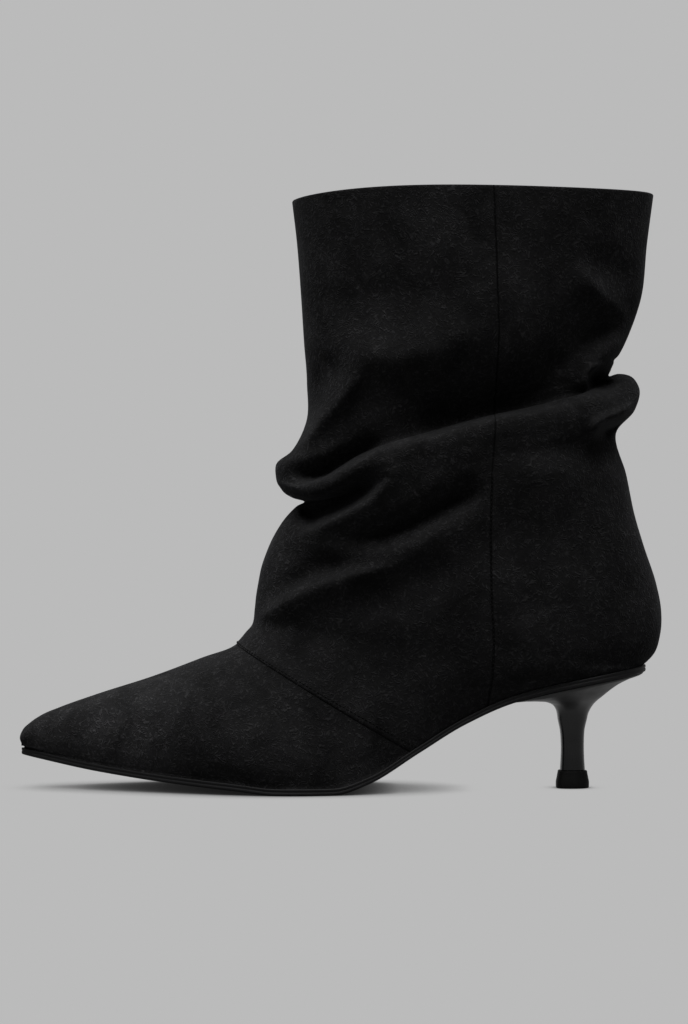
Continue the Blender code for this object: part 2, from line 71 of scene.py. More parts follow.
# Sizes of the looks alone
SUEDE = 0.0013
SEAM_STEP = 0.00045  # the shaft's panels lap over the vamp by this much
SEAM_RUN = 0.0007  # length over which that lap rises
SOLE_LIP = 0.0002  # the sole's edge rises this much into the gap under the upper
HEEL_OUT = 0.0002  # the heel's top stands out this much past the feather line
TIP_FLATNESS = 3.5
SHARP_ANGLE = 50  # degrees, as all angles here

# Mesh steps
SIDE_STEPS = 106
ROW_STEP = 0.0010
LONG_SIDE_SHARE = 0.55  # how much a span's longer side counts when it is cut into rows
LEAST_WIDTH = 1.002  # a row is at least this many times as wide as its opening
SOLE_TURNS = 150
HEEL_SIDES = 72
HEEL_ROWS = 46
HEEL_CUP_SHARES = (0.25, 0.5, 0.75)

# Where the open rows of the foot meet the closed ones of the shaft, the surface is evened out
SOFT_PASSES = 40
SOFT_ROWS = 20  # the effect ends this many rows away
SOFT_CORE_ROWS = 8  # and is full up to here
SOFT_EDGE = 2  # points at a row's lower ends that stay where they are
SOFT_INSIDE = 14  # and from here inwards it is full

# The suede turned in at the collar and the lining, counted in rows from the collar down
COLLAR_ANGLES = (30, 60, 90, 120, 150, 180)
FACING_LOOPS = 8
FACING_STEP = 2
LINING_START = 12  # over the lower edge of the turned-in suede
LINING_ROWS = 60  # below its start, the lining nears the suede over these rows
LINING_DEPTH = 0.0006  # behind the suede, where the shaft is folded

# In the tables of the sole, foot, shaft and heel, lengths are shares of the sizes above, and rounds and
# flatness are the powers of a section's curve.
SolePoint = namedtuple("SolePoint", "station toe_share heel_share")
SOLE_LINE = [
    SolePoint(-0.496, 1.00, 0.0),
    SolePoint(-0.380, 0.59, 0.0),
    SolePoint(-0.270, 0.32, 0.0),
    SolePoint(-0.160, 0.12, 0.0),
    SolePoint(-0.095, 0.0, 0.0),
    SolePoint(-0.012, 0.0, 0.0),
    SolePoint(0.043, 0.0, 0.085),
    SolePoint(0.119, 0.0, 0.331),
    SolePoint(0.193, 0.0, 0.575),
    SolePoint(0.265, 0.0, 0.750),
    SolePoint(0.353, 0.0, 0.875),
    SolePoint(0.472, 0.0, 1.0),
]

PlanPoint = namedtuple("PlanPoint", "station half centre")
FEATHER_PLAN = [
    PlanPoint(-0.495, 0.030, 0.040),
    PlanPoint(-0.440, 0.115, 0.045),
    PlanPoint(-0.360, 0.235, 0.045),
    PlanPoint(-0.260, 0.370, 0.035),
    PlanPoint(-0.160, 0.470, 0.010),
    PlanPoint(-0.080, 0.500, -0.010),
    PlanPoint(0.000, 0.440, -0.030),
    PlanPoint(0.090, 0.315, -0.040),
    PlanPoint(0.180, 0.255, -0.030),
    PlanPoint(0.280, 0.270, -0.010),
    PlanPoint(0.380, 0.305, 0.0),
    PlanPoint(0.472, 0.305, 0.0),
]
TOE_ROUND = 0.022
HEEL_ROUND = 0.105

FootSection = namedtuple("FootSection", "name front ridge back outer inner front_round back_round")
FOOT_SECTIONS = [
    FootSection("toe tip", -0.4980, 0.012, -0.4950, 0.004, 0.004, 2.0, 2.0),
    FootSection("toe nose", -0.5020, 0.070, -0.4920, 0.045, 0.045, 2.0, 2.0),
    FootSection("toe rise", -0.4975, 0.132, -0.4860, 0.072, 0.072, 2.0, 2.0),
    FootSection("toe top", -0.4850, 0.200, -0.4730, 0.100, 0.100, 2.0, 2.0),
    FootSection("toe box", -0.4670, 0.272, -0.4530, 0.130, 0.130, 2.0, 1.8),
    FootSection("toe back", -0.4390, 0.353, -0.4220, 0.175, 0.175, 2.0, 1.6),
    FootSection("vamp front", -0.3830, 0.492, -0.3560, 0.268, 0.268, 2.1, 1.5),
    FootSection("vamp", -0.2970, 0.674, -0.2470, 0.410, 0.408, 2.1, 1.5),
    FootSection("ball", -0.2190, 0.848, -0.1020, 0.522, 0.515, 2.0, 1.5),
    FootSection("vamp seam", -0.1630, 0.976, 0.1070, 0.420, 0.405, 2.2, 1.6),
    FootSection("waist", -0.1470, 1.067, 0.2020, 0.388, 0.372, 2.3, 1.9),
    FootSection("seat front", -0.1380, 1.123, 0.2960, 0.390, 0.376, 2.3, 2.5),
    FootSection("seat", -0.1350, 1.183, 0.3890, 0.404, 0.394, 2.3, 3.1),
    FootSection("seat back", -0.1340, 1.242, 0.4390, 0.414, 0.406, 2.3, 3.4),
    FootSection("seat round", -0.1330, 1.271, 0.4620, 0.418, 0.411, 2.3, 3.5),
    FootSection("seat end", -0.1330, 1.293, 0.4725, 0.422, 0.416, 2.3, 3.5),
]
SEAM_ROW = 9  # where the vamp meets the shaft

ShaftSection = namedtuple(
    "ShaftSection",
    "name front front_rise back back_rise outer inner outer_lift inner_lift front_round back_round",
)
SHAFT_SECTIONS = [
    ShaftSection("counter low", -0.605, 0.148, 0.504, 0.023, 0.402, 0.397, 0.0, 0.0, 2.3, 3.5),
    ShaftSection("counter", -0.599, 0.172, 0.521, 0.063, 0.412, 0.408, 0.0, 0.0, 2.3, 3.3),
    ShaftSection("counter high", -0.591, 0.204, 0.524, 0.114, 0.422, 0.418, 0.0, 0.0, 2.3, 3.1),
    ShaftSection("ankle low", -0.577, 0.236, 0.510, 0.172, 0.434, 0.430, 0.0, 0.0, 2.3, 2.9),
    ShaftSection("ankle", -0.555, 0.274, 0.476, 0.251, 0.450, 0.448, 0.003, 0.010, 2.3, 2.7),
    ShaftSection("ankle high", -0.527, 0.308, 0.449, 0.321, 0.464, 0.466, 0.005, 0.016, 2.4, 2.6),
    ShaftSection("under the fold", -0.493, 0.336, 0.426, 0.406, 0.478, 0.482, 0.008, 0.018, 2.4, 2.5),
    ShaftSection("lower crease", -0.471, 0.347, 0.398, 0.492, 0.486, 0.490, 0.009, 0.018, 2.4, 2.4),
    ShaftSection("roll under", -0.504, 0.355, 0.451, 0.543, 0.497, 0.500, 0.011, 0.020, 2.4, 2.4),
    ShaftSection("roll crest", -0.527, 0.366, 0.463, 0.588, 0.506, 0.506, 0.012, 0.022, 2.4, 2.4),
    ShaftSection("roll lip", -0.538, 0.377, 0.441, 0.613, 0.492, 0.492, 0.012, 0.021, 2.4, 2.4),
    ShaftSection("roll shelf", -0.546, 0.387, 0.402, 0.619, 0.444, 0.446, 0.009, 0.014, 2.4, 2.4),
    ShaftSection("upper crease", -0.549, 0.396, 0.380, 0.614, 0.380, 0.384, 0.004, 0.006, 2.4, 2.4),
    ShaftSection("nose", -0.549, 0.426, 0.384, 0.627, 0.378, 0.384, 0.0, 0.0, 2.4, 2.4),
    ShaftSection("nose top", -0.504, 0.456, 0.391, 0.640, 0.392, 0.398, 0.0, 0.0, 2.4, 2.4),
    ShaftSection("trough", -0.465, 0.517, 0.393, 0.648, 0.416, 0.422, 0.0, 0.0, 2.4, 2.4),
    ShaftSection("shaft low", -0.463, 0.598, 0.407, 0.660, 0.442, 0.450, 0.0, 0.0, 2.4, 2.3),
    ShaftSection("shaft", -0.471, 0.684, 0.432, 0.699, 0.462, 0.466, 0.0, 0.0, 2.3, 2.3),
    ShaftSection("shaft high", -0.479, 0.780, 0.468, 0.780, 0.480, 0.482, 0.0, 0.0, 2.2, 2.2),
    ShaftSection("below the collar", -0.491, 0.899, 0.485, 0.899, 0.494, 0.494, 0.0, 0.0, 2.2, 2.2),
    ShaftSection("collar", -0.504, 0.984, 0.502, 0.997, 0.500, 0.500, 0.007, 0.007, 2.2, 2.2),
]

# Each fold is a soft ridge or trough along a line in the side view. The line is in millimetres (x, z),
# above and below are its half widths across, height is its rise or its depth, and pinch sharpens it
# from a round swell at 0 to a crisp edge at 1. The two fades are shares of the line at its ends.
Fold = namedtuple("Fold", "name line above below height pinch fade_in fade_out")
OUTER = -1
INNER = 1
FOLD_START = 0.001  # the folds rise from here outwards, seen from the boot's middle
FOLD_HOLD = 0.018  # and have their full height from here
FOLD_POINTS = 33  # points along a fold's line
FOLD_REACH = 3.5  # a fold ends this many half widths outside its line's box
CRISP_FALL = 2.2  # how steeply a crisp edge falls away
CRISP_TOP = 0.03  # how round its very top is
OUTER_FOLDS = [
    Fold("pocket", [(-16, 113), (-5, 117.2), (3, 121.2), (10, 126), (14, 131)],
         4.5, 3.6, -13.0, 0.2, 0.1, 0.3),
    Fold("pocket lip",
         [(-21, 103.5), (-12, 108.2), (-2, 113), (7, 117.6), (14.5, 123), (19.5, 129.5), (19, 135),
          (14.5, 139)],
         1.7, 6.0, 4.6, 0.5, 0.3, 0.25),
    Fold("under the nose", [(-17, 113), (-12, 111.5), (-7.5, 111.5)], 2.5, 2.5, -3.0, 0.3, 0.2, 0.4),
    Fold("above the crest", [(20, 144.2), (10, 139.6), (2, 135.4), (-6, 130.8), (-14, 129.5), (-20, 129.5)],
         6.0, 1.3, -9.0, 0.2, 0.3, 0.2),
    Fold("roll end band", [(-19, 123), (-11, 122), (-0.5, 126), (9, 133), (14, 137)],
         3.5, 3.0, 1.4, 0.3, 0.3, 0.4),
    Fold("slant", [(60, 124), (53, 122.5), (45, 119), (36, 113.5), (23, 107.5), (10, 103.5), (-0.5, 103)],
         5.5, 4.5, -9.5, 0.15, 0.2, 0.35),
    Fold("slant swell", [(56, 115), (43, 109), (29, 101.5), (13, 97), (2, 95.5)],
         5.0, 8.0, 2.2, 0.1, 0.4, 0.4),
    Fold("dimple", [(-13.5, 93.5), (-7, 94.5), (1, 93)], 4.5, 4.5, -2.6, 0.0, 0.4, 0.4),
    Fold("instep", [(-37, 68), (-30.5, 73), (-25, 77), (-15, 83), (-2, 88), (18, 92.5), (36, 100)],
         3.0, 9.0, 5.4, 0.45, 0.12, 0.45),
    Fold("above instep", [(-27, 81.5), (-15, 87.5), (-2, 91.5), (14, 96)], 5.0, 4.0, -2.6, 0.0, 0.3, 0.4),
    Fold("below instep", [(51.5, 99), (38.5, 92), (25.5, 86), (7.5, 79), (-5.5, 77)],
         8.0, 9.0, -3.6, 0.0, 0.4, 0.4),
    Fold("nose ridge", [(-16, 144.5), (-7, 153.5), (0.5, 161), (6, 168.5), (9, 175), (11.5, 182)],
         7.0, 4.5, 6.5, 0.5, 0.08, 0.4),
    Fold("nose hollow", [(-10, 165), (-6, 172), (-1, 180)], 6.0, 5.0, -2.4, 0.0, 0.3, 0.4),
    Fold("wide trough", [(118, 194), (106, 188.5), (97, 182.5), (88, 175.5), (80, 169)],
         12.0, 6.0, -8.5, 0.15, 0.12, 0.3),
    Fold("hidden crease", [(95, 161.8), (76, 158), (63, 155.6), (46, 151.2), (32, 147), (20, 143.5)],
         16.0, 1.2, -10.0, 0.0, 0.25, 0.35),
    Fold("back ridge", [(95, 217), (101.5, 209), (109, 202), (116, 196.5), (118, 189)],
         4.5, 7.0, 4.2, 0.3, 0.35, 0.15),
    Fold("back swell", [(117, 188), (110, 180), (101, 172.5), (92, 165.5)], 6.0, 7.0, 4.0, 0.2, 0.15, 0.35),
    Fold("shaft swell", [(-8, 186), (6, 180), (20, 177.5), (33, 179), (48, 186), (63.5, 195)],
         9.0, 7.5, 4.4, 0.0, 0.3, 0.45),
    Fold("shaft hollow", [(-7, 203.5), (16, 203), (40.5, 204.5), (56.5, 209)],
         9.0, 9.0, -2.2, 0.0, 0.4, 0.4),
    Fold("back hollow", [(102, 221), (112, 214), (121.5, 210)], 8.0, 7.0, -3.0, 0.0, 0.3, 0.3),
    Fold("back pocket", [(104.5, 171), (107.5, 168.5), (112, 168)], 3.4, 3.0, -12.0, 0.2, 0.15, 0.2),
    Fold("back pocket lip", [(108, 177), (103, 173), (100.5, 168.5), (103, 164)],
         2.0, 2.5, 5.0, 0.4, 0.3, 0.3),
    Fold("roll tuck lip", [(120, 161), (116, 156.5), (109, 153.5), (104.5, 151), (104, 147), (108, 144.5)],
         2.2, 2.4, 5.0, 0.3, 0.2, 0.3),
    Fold("roll tuck", [(116, 150.5), (111, 149.5), (108, 147.5)], 2.6, 2.6, -9.0, 0.2, 0.15, 0.3),
    Fold("panel swell", [(50, 128), (70, 131), (90, 132), (106, 131)], 7.0, 12.0, 1.5, 0.0, 0.4, 0.3),
    Fold("panel hollow", [(56, 101), (76, 103), (96, 105), (114, 105)], 12.0, 12.0, -1.5, 0.0, 0.4, 0.3),
]
INNER_FOLDS = [
    Fold("pocket", [(-13, 116), (-2, 119), (9, 126), (18, 134), (22, 138)], 4.5, 3.5, -7.0, 0.3, 0.1, 0.3),
    Fold("pocket lip", [(-18, 108), (-5, 113), (6, 119), (18, 127), (24, 133)],
         2.5, 6.0, 2.2, 0.3, 0.35, 0.3),
    Fold("slant", [(76, 134), (62, 131), (45, 122), (28, 112), (10, 104), (-2, 102)],
         5.0, 8.0, -4.6, 0.3, 0.3, 0.35),
    Fold("slant swell", [(70, 125), (50, 114), (32, 104), (12, 97)], 7.0, 8.0, 1.8, 0.0, 0.4, 0.4),
    Fold("instep", [(-37, 68.5), (-30, 74), (-18, 80), (-4, 84), (14, 87), (30, 92)],
         4.0, 8.0, 2.8, 0.3, 0.2, 0.5),
    Fold("below instep", [(46, 93), (28, 85), (8, 78), (-6, 76)], 8.0, 9.0, -2.2, 0.0, 0.4, 0.4),
    Fold("nose ridge", [(-15, 148), (-8, 155), (0, 161), (8, 172), (14, 178)],
         4.5, 9.0, 3.6, 0.3, 0.1, 0.45),
    Fold("nose hollow", [(-9, 161), (-3, 170), (2, 179)], 6.0, 6.0, -2.2, 0.0, 0.3, 0.4),
    Fold("wide trough", [(112, 196), (96, 190), (78, 181), (60, 173), (42, 166), (26, 163)],
         11.0, 10.0, -6.4, 0.2, 0.2, 0.4),
    Fold("back swell", [(116, 188), (104, 178), (90, 170), (76, 165)], 8.0, 8.0, 3.4, 0.1, 0.15, 0.45),
    Fold("shaft swell", [(-8, 194), (14, 188), (36, 186), (58, 194)], 11.0, 11.0, 2.6, 0.0, 0.3, 0.45),
    Fold("back hollow", [(98, 222), (110, 216), (120, 214)], 9.0, 9.0, -2.0, 0.0, 0.3, 0.3),
    Fold("roll tuck", [(114, 150), (106, 149), (102, 145)], 2.5, 2.5, -2.6, 0.2, 0.2, 0.3),
]

# How far the roll's crest hangs below its section, in millimetres, from the boot's back (0) to its front (1)
RollPoint = namedtuple("RollPoint", "share outer inner")
ROLL_LINE = [
    RollPoint(0.00, 0.0, 0.0),
    RollPoint(0.08, 3.4, 2.0),
    RollPoint(0.20, 3.3, 3.0),
    RollPoint(0.40, 1.7, 2.4),
    RollPoint(0.60, 1.5, 0.8),
    RollPoint(0.70, 1.5, 0.4),
    RollPoint(0.76, 2.2, 1.0),
    RollPoint(0.81, 4.2, 2.4),
    RollPoint(0.87, 6.4, 4.6),
    RollPoint(0.93, 5.7, 5.0),
    RollPoint(1.00, 0.0, 0.0),
]
# The share of it that each section takes
ROLL_ROWS = {
    "under the fold": 0.15,
    "lower crease": 0.4,
    "roll under": 0.8,
    "roll crest": 1.0,
    "roll lip": 1.0,
    "roll shelf": 1.0,
    "upper crease": 1.0,
    "nose": 0.5,
    "nose top": 0.15,
}

HeelSection = namedtuple("HeelSection", "front front_rise back back_rise half flatness")
HEEL_SECTIONS = [
    HeelSection(-0.505, 0.156, 0.505, 0.156, 0.510, 3.5),
    HeelSection(-0.480, 0.250, 0.475, 0.250, 0.490, 3.5),
    HeelSection(-0.470, 0.373, 0.465, 0.410, 0.485, 3.5),
    HeelSection(-0.510, 0.495, 0.500, 0.512, 0.500, 3.5),
    HeelSection(-0.595, 0.582, 0.580, 0.582, 0.560, 3.5),
    HeelSection(-0.645, 0.655, 0.660, 0.650, 0.700, 3.5),
    HeelSection(-0.760, 0.702, 0.840, 0.715, 0.950, 3.5),
    HeelSection(-1.050, 0.737, 1.240, 0.792, 1.400, 4.0),
    HeelSection(-1.560, 0.751, 1.880, 0.894, 1.900, 5.0),
    HeelSection(-2.050, 0.754, 2.500, 0.960, 2.240, 6.0),
]
HeelTop = namedtuple("HeelTop", "front half flatness")
HEEL_TOP = HeelTop(-2.420, 2.550, 7.0)

# The sole's edge from its top down: millimetres inwards, and the share of its thickness downwards
SOLE_PROFILE = [
    (1.6, 0.00), (0.12, 0.00), (0.03, 0.05), (0.0, 0.14), (0.0, 0.30), (0.16, 0.38), (0.16, 0.46),
    (0.0, 0.54), (0.0, 0.75), (0.06, 0.86), (0.22, 0.95), (0.55, 1.0), (2.0, 1.0),
]
# The sock's edge from its top down: metres inwards, and the share of its height
SOCK_PROFILE = [(0.0045, 1.0), (0.0022, 0.97), (0.0010, 0.86), (0.0003, 0.60), (0.0, 0.30), (0.0, 0.0)]
# The top piece from the floor up: the share of TIP_TAPER inwards, and of its height
TIP_PROFILE = [
    (0.62, 0.0), (0.30, 0.010), (0.10, 0.035), (0.0, 0.09), (0.0, 0.35), (0.45, 0.60), (0.95, 0.90),
    (1.02, 0.955), (1.20, 0.985), (1.60, 1.0),
]

# Floor and backdrop, with a painted shadow on the floor near the boot
CONTACT_SHADOW_REACH = 0.010
SHADOW_REACH = 0.028
SHADOW_SAMPLES = 12
FLOOR_FRONT = -3.0
FLOOR_HALF = 5.0
BACKDROP = 2.4
BACKDROP_HEIGHT = 5.0
SWEEP_RADIUS = 1.0
SWEEP_STEPS = 32

# Light and camera
WORLD_STRENGTH = 0.20
SUN_STRENGTH = 10.2
SUN_SIZE = 60
SUN_TILT = (15, -5, 0)
LENS = 109.3
CAMERA_PLACE = (0.00146, -1.300, 0.1152)

# The side seam's line, in millimetres from the collar down, on both sides of the boot
SIDE_SEAM = [
    (62.0, 250), (63.2, 222), (64.4, 189), (63.2, 156), (61.6, 132), (61.0, 106), (61.6, 79), (62.6, 62),
    (62.2, 48), (59.6, 30),
]
VAMP_CREASE = 0.15  # the vamp seam's groove lies this many millimetres before its step
NO_SEAM = 99.0  # inside the collar, far from the vamp seam

# Stitches. The profile of a thread is its (place along the stitch, share of the full radius).
STITCHED_BELOW = 0.131  # the side seams are stitched below the roll
STITCHED_ABOVE = 0.003  # and down to this far above the sole
STITCH_SETBACK = 0.0008  # the vamp's stitches lie this far behind its seam's step
STITCH_PITCH = 0.00175
STITCH_LENGTH = 0.0012
THREAD_RADIUS = 0.00022
THREAD_SIDES = 6
THREAD_END = 0.15  # the least share of the radius
THREAD_RISE = (0.15, 0.35)  # height of its centre at the ends, and what the middle adds, in radii
THREAD_PROFILE = [(-0.5, 0.0), (-0.42, 0.7), (-0.2, 1.0), (0.2, 1.0), (0.42, 0.7), (0.5, 0.0)]

# Painted light and shade along the boot, from the toe to the back: lighter on the toe, where the top light
# falls, and darker further back
ShadePoint = namedtuple("ShadePoint", "x level")
PAINTED_LIGHT_ALONG_BOOT = [
    ShadePoint(-0.130, 1.00),
    ShadePoint(-0.080, 0.84),
    ShadePoint(-0.040, 0.62),
    ShadePoint(-0.005, 0.54),
    ShadePoint(0.035, 0.65),
    ShadePoint(0.090, 0.65),
    ShadePoint(0.130, 0.56),
]
PAINTED_TOE_BOUNCE = 1.8  # painted bounce light: the suede is this much lighter low on the toe's sides, where the floor lights it
CURL_WAVE = 42.0  # radians of light and dark over the whole range of the nap's lie

# The darkest and the lightest colour of each material
Tones = namedtuple("Tones", "dark light")
SUEDE_TONES = Tones((0.0003, 0.0003, 0.0003), (0.0288, 0.0285, 0.0295))
LINING_TONES = Tones((0.012, 0.012, 0.012), (0.022, 0.021, 0.021))
EDGE_TONES = Tones((0.0022, 0.0022, 0.0023), (0.0048, 0.0048, 0.0050))
HEEL_TONES = Tones((0.0018, 0.0018, 0.0020), (0.0034, 0.0034, 0.0036))
RUBBER_TONES = Tones((0.0016, 0.0016, 0.0016), (0.0032, 0.0032, 0.0031))
THREAD_TONES = Tones((0.0006, 0.0006, 0.0006), (0.0018, 0.0018, 0.0018))
# the floor's glow, from full painted shadow to none
STUDIO_TONES = Tones((0.0, 0.0, 0.0), (0.497, 0.497, 0.497))


# Curves through the tables
def hermite(knots, values, at, level=False):
    """The smooth curve through the knots. With level set it never overshoots them."""
    knots = np.asarray(knots, float)
    values = np.asarray(values, float)
    spans = np.diff(knots)
    slopes = (np.diff(values, axis=0).T / spans).T
    tangents = np.empty_like(values)
    tangents[0] = slopes[0]
    tangents[-1] = slopes[-1]
    for i in range(1, len(knots) - 1):
        before, after = slopes[i - 1], slopes[i]
        mean = (before * spans[i] + after * spans[i - 1]) / (spans[i] + spans[i - 1])
        if level:
            same = before * after > 0
            total = np.where(same, before + after, 1.0)
            mean = np.where(same, 2 * before * after / total, 0.0)
        tangents[i] = mean
    at = min(max(at, knots[0]), knots[-1])
    i = min(int(np.searchsorted(knots, at, side="right")) - 1, len(spans) - 1)
    h = spans[i]
    t = (at - knots[i]) / h
    a = 2 * t**3 - 3 * t**2 + 1
    b = t**3 - 2 * t**2 + t
    c = -2 * t**3 + 3 * t**2
    d = t**3 - t**2
    return a * values[i] + b * h * tangents[i] + c * values[i + 1] + d * h * tangents[i + 1]


def smooth(low, high, value):
    """0 at low and 1 at high, with soft ends."""
    t = np.clip((np.asarray(value, float) - low) / (high - low), 0.0, 1.0)
    return t * t * (3 - 2 * t)


def curve_points(corners, count):
    """Evenly spaced points on the smooth curve through the corners."""
    corners = np.asarray(corners, float)
    knots = np.concatenate([[0], np.cumsum(np.linalg.norm(np.diff(corners, axis=0), axis=1))])
    return np.array([hermite(knots, corners, at) for at in np.linspace(0, knots[-1], count)])


# The sole's line and outline
def sole_bottom(x):
    stations = [p.station * LENGTH for p in SOLE_LINE]
    heights = [p.toe_share * TOE_SPRING + p.heel_share * HEEL_HEIGHT for p in SOLE_LINE]
    return float(hermite(stations, heights, x, level=True))


def sole_top(x):
    return sole_bottom(x) + OUTSOLE


PLAN_STATIONS = [p.station * LENGTH for p in FEATHER_PLAN]
TOE_END = PLAN_STATIONS[0]
HEEL_END = PLAN_STATIONS[-1]
SHAFT_AXIS = HEEL_END - SHAFT_SETBACK
HEEL_AXIS = HEEL_END - HEEL_SETBACK


def feather_half(x):
    halves = [p.half * BALL_WIDTH for p in FEATHER_PLAN]
    half = float(hermite(PLAN_STATIONS, halves, x, level=True))
    for end, reach in ((TOE_END, TOE_ROUND * LENGTH), (HEEL_END, HEEL_ROUND * LENGTH)):
        inside = min(abs(x - end), reach) / reach
        if not TOE_END < x < HEEL_END:
            inside = 0.0
        half *= math.sqrt(max(1 - (1 - inside) ** 2, 0.0))
    return half


def feather_centre(x):
    centres = [p.centre * BALL_WIDTH for p in FEATHER_PLAN]
    return float(hermite(PLAN_STATIONS, centres, x, level=True))


def feather_point(turn, side, inset=0.0):
    """Point (x, y) of the feather line moved inwards by inset. turn runs 0 to 1, heel to toe."""

    def on_line(t):
        x = HEEL_END + (TOE_END - HEEL_END) * (1 - math.cos(math.pi * t)) / 2
        return np.array([x, feather_centre(x) + side * feather_half(x)])

    here = on_line(turn)
    step = 1e-3
    if turn < step:
        inward = np.array([-1.0, 0.0])
    elif turn > 1 - step:
        inward = np.array([1.0, 0.0])
    else:
        along = on_line(turn + step) - on_line(turn - step)
        inward = np.array([-along[1], along[0]]) * side / np.linalg.norm(along)
    return here + inward * inset


# The upper's surface
def foot_columns(s):
    front_x = s.front * LENGTH
    back_x = s.back * LENGTH
    return [
        front_x,
        sole_top(front_x) + s.ridge * INSTEP_HEIGHT + SEAM_STEP,
        back_x,
        sole_top(back_x) + GAP,
        s.outer * BALL_WIDTH,
        s.inner * BALL_WIDTH,
        0.0,
        0.0,
        s.front_round,
        s.back_round,
        0.0,
    ]


def shaft_columns(s):
    seat = sole_top(HEEL_END) + GAP
    return [
        SHAFT_AXIS + s.front * COLLAR_DEPTH,
        seat + s.front_rise * SHAFT_HEIGHT,
        SHAFT_AXIS + s.back * COLLAR_DEPTH,
        seat + s.back_rise * SHAFT_HEIGHT,
        s.outer * COLLAR_WIDTH,
        s.inner * COLLAR_WIDTH,
        s.outer_lift * SHAFT_HEIGHT,
        s.inner_lift * SHAFT_HEIGHT,
        s.front_round,
        s.back_round,
        ROLL_ROWS.get(s.name, 0.0),
    ]


def upper_rows():
    """Rows from toe to collar: their columns, their distance past the vamp seam, and whether they close."""
    feet = [foot_columns(s) for s in FOOT_SECTIONS]
    columns = np.array(feet + [shaft_columns(s) for s in SHAFT_SECTIONS])
    fronts = np.linalg.norm(np.diff(columns[:, 0:2], axis=0), axis=1)
    backs = np.linalg.norm(np.diff(columns[:, 2:4], axis=0), axis=1)
    bottoms = np.abs(np.diff([feather_half(s.back * LENGTH) for s in FOOT_SECTIONS]))
    backs[: len(bottoms)] = np.hypot(backs[: len(bottoms)], bottoms)
    spans = (fronts + backs) / 2
    knots = np.concatenate([[0.0], np.cumsum(spans)])
    places = []
    for i, span in enumerate(spans):
        longer = max(fronts[i], backs[i])
        parts = math.ceil(max(span, longer * LONG_SIDE_SHARE) / ROW_STEP)
        places += [knots[i] + span * k / parts for k in range(parts)]
    places.append(knots[-1])
    seam = knots[SEAM_ROW]
    places = sorted(set(places) | {seam + SEAM_RUN / 2, seam + SEAM_RUN})
    close = knots[len(FOOT_SECTIONS) - 1]
    return [(hermite(knots, columns, place), place - seam, place >= close) for place in places]


def section_points(columns, closed):
    """The row's points from its outer bottom end over the ridge to its inner bottom end."""
    front_x, front_z, back_x, back_z, outer, inner, outer_lift, inner_lift = columns[:8]
    front_round, back_round, roll = columns[8:]
    opening = 0.0 if closed else feather_half(back_x)
    if not closed:
        back_z = sole_top(back_x) + GAP
    centre = feather_centre(min(back_x, HEEL_END))
    roll_shares = [p.share for p in ROLL_LINE]
    sides = []
    for side, half, lift in ((OUTER, outer, outer_lift), (INNER, inner, inner_lift)):
        half = max(half, opening * LEAST_WIDTH)
        tuck = (1 - (opening / half) ** 2) ** (1 / back_round)
        start = -math.asin(tuck)
        turn = np.sin(start + (math.pi / 2 - start) * np.arange(SIDE_STEPS + 1) / SIDE_STEPS)
        power = np.where(turn > 0, front_round, back_round)
        share = (turn + tuck) / (1 + tuck)
        rise = lift * 4 * share * (1 - share) * (1 + LIFT_SKEW * (2 * share - 1))
        hang = [p.outer if side == OUTER else p.inner for p in ROLL_LINE]
        rise = rise - roll * MM * np.array([hermite(roll_shares, hang, at) for at in share])
        width = np.sqrt(np.maximum(1 - np.abs(turn) ** power, 0.0))
        x = back_x + (front_x - back_x) * share
        y = centre * (1 - share) + side * half * width
        z = back_z + (front_z - back_z) * share + rise
        arc = np.stack([x, y, z], axis=1)
        sides.append(arc if side == OUTER else arc[-2::-1])
    return np.concatenate(sides)


def row_faces(rows, columns, wrap_after):
    """Quads between rows of points. From wrap_after on, a row's last point is its first."""
    i = np.arange(rows - 1)[:, None]
    j = np.arange(columns - 1)[None, :]
    a = i * columns + j
    b = a + 1
    c = b + columns
    d = a + columns
    last = j == columns - 2
    b = np.where(last & (i >= wrap_after), i * columns, b)
    c = np.where(last & (i + 1 >= wrap_after), (i + 1) * columns, c)
    return np.stack([a, d, c, b], axis=-1).reshape(-1, 4)


def point_normals(points, faces):
    corners = points[faces]
    across = np.cross(corners[:, 2] - corners[:, 0], corners[:, 3] - corners[:, 1])
    normals = np.zeros_like(points)
    for k in range(4):
        np.add.at(normals, faces[:, k], across)
    return normals / np.maximum(np.linalg.norm(normals, axis=1, keepdims=True), 1e-12)


def fold_height(fold, x, z):
    """How far the fold moves the wall outwards at (x, z), all in millimetres."""
    line = curve_points(fold.line, FOLD_POINTS)
    ahead = np.gradient(line, axis=0)
    ahead /= np.linalg.norm(ahead, axis=1, keepdims=True)
    ahead *= np.where(ahead[:, :1] < 0, -1.0, 1.0)
    along = np.linspace(0, 1, len(line))
    taper = smooth(0, fold.fade_in, along) * smooth(0, fold.fade_out, 1 - along)
    gap_x = x[:, None] - line[None, :, 0]
    gap_z = z[:, None] - line[None, :, 1]
    distance = np.hypot(gap_x, gap_z)
    lean = ahead[None, :, 0] * gap_z - ahead[None, :, 1] * gap_x
    blend = smooth(-1.0, 1.0, lean / np.maximum(distance, 1e-6))
    near = distance / (fold.below + (fold.above - fold.below) * blend)
    swell = np.exp(-near * near)
    crisp = np.exp(-np.sqrt(near * near * CRISP_FALL + CRISP_TOP) + math.sqrt(CRISP_TOP))
    profile = swell * (1 - fold.pinch) + crisp * fold.pinch
    return fold.height * np.max(taper * profile, axis=1)


